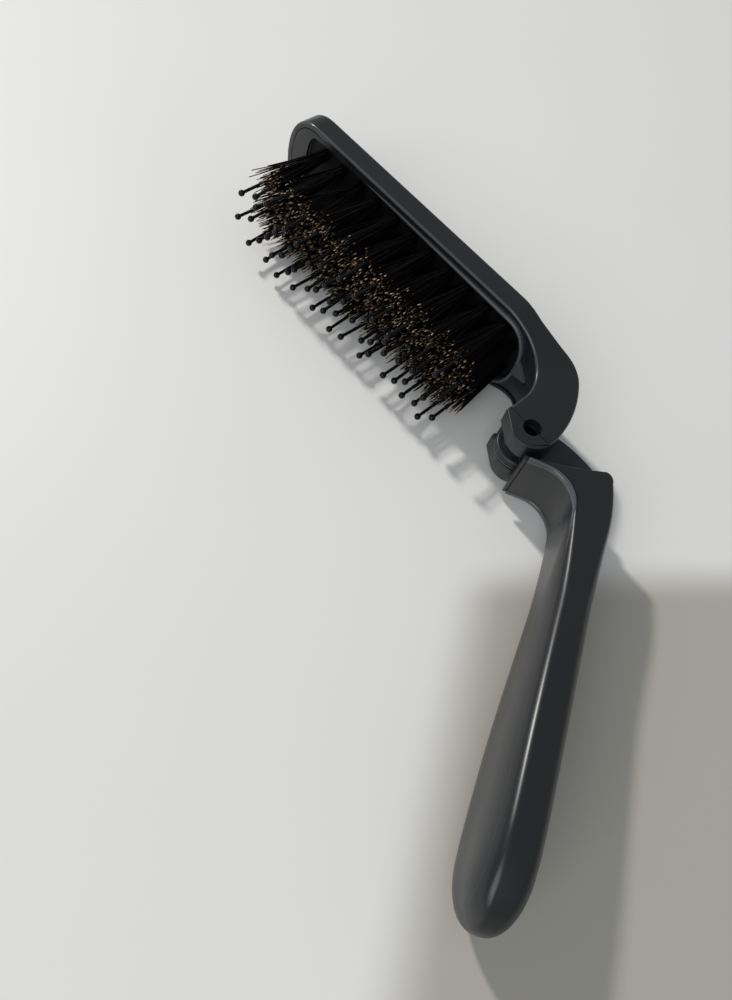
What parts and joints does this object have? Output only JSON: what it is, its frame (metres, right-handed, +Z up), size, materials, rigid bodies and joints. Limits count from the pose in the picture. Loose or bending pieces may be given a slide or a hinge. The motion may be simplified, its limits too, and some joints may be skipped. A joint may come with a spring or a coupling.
{
  "type": "folding hairbrush with mirror",
  "caption": "Folding pocket hairbrush: a straight head of boar tufts with ball-tipped nylon pins, a mirror on the back of the head, and a handle that hinges over the bristles.",
  "frame": {"origin": "centre of the flat side of the head on which the brush lies, midway along the flat", "axes": "+X along the head towards its tip, +Y the way the bristles point, +Z up, along the hinge axis"},
  "size_m": [0.1812, 0.1083, 0.028],
  "materials": {
    "shell_plastic": "satin black",
    "frame_plastic": "satin black",
    "plate_plastic": "matte black",
    "boar_hair": "natural hair, dark at the root and tan at the tip",
    "pin_nylon": "glossy black nylon",
    "mirror_glass": "silvered",
    "adhesive_pad": "foam pad",
    "axle_steel": "dark plated",
    "washer_nylon": "black nylon"
  },
  "bodies": {
    "head": {"head_back_shell": "shell_plastic", "head_front_frame": "frame_plastic", "bristle_plate": "plate_plastic", "tuft_row_1": "boar_hair", "tuft_row_2": "boar_hair", "tuft_row_3": "boar_hair", "tuft_row_4": "boar_hair", "tuft_row_5": "boar_hair", "pin_row_1": "pin_nylon", "pin_row_2": "pin_nylon", "pin_row_3": "pin_nylon", "pin_row_4": "pin_nylon", "pin_row_5": "pin_nylon", "mirror": "mirror_glass", "mirror_tape": "adhesive_pad", "hinge_axle": "axle_steel", "upper_washer": "washer_nylon", "lower_washer": "washer_nylon"},
    "handle": {"hinge_tongue": "frame_plastic", "handle_back_shell": "shell_plastic", "handle_front_cover": "frame_plastic"}
  },
  "joints": [
    {"name": "fold", "type": "hinge", "parent": "head", "child": "handle", "pos_m": [-0.064, 0.0203, 0.014], "axis": [0, 0, 1], "range_deg": [-118.7, 61.3]}
  ]
}
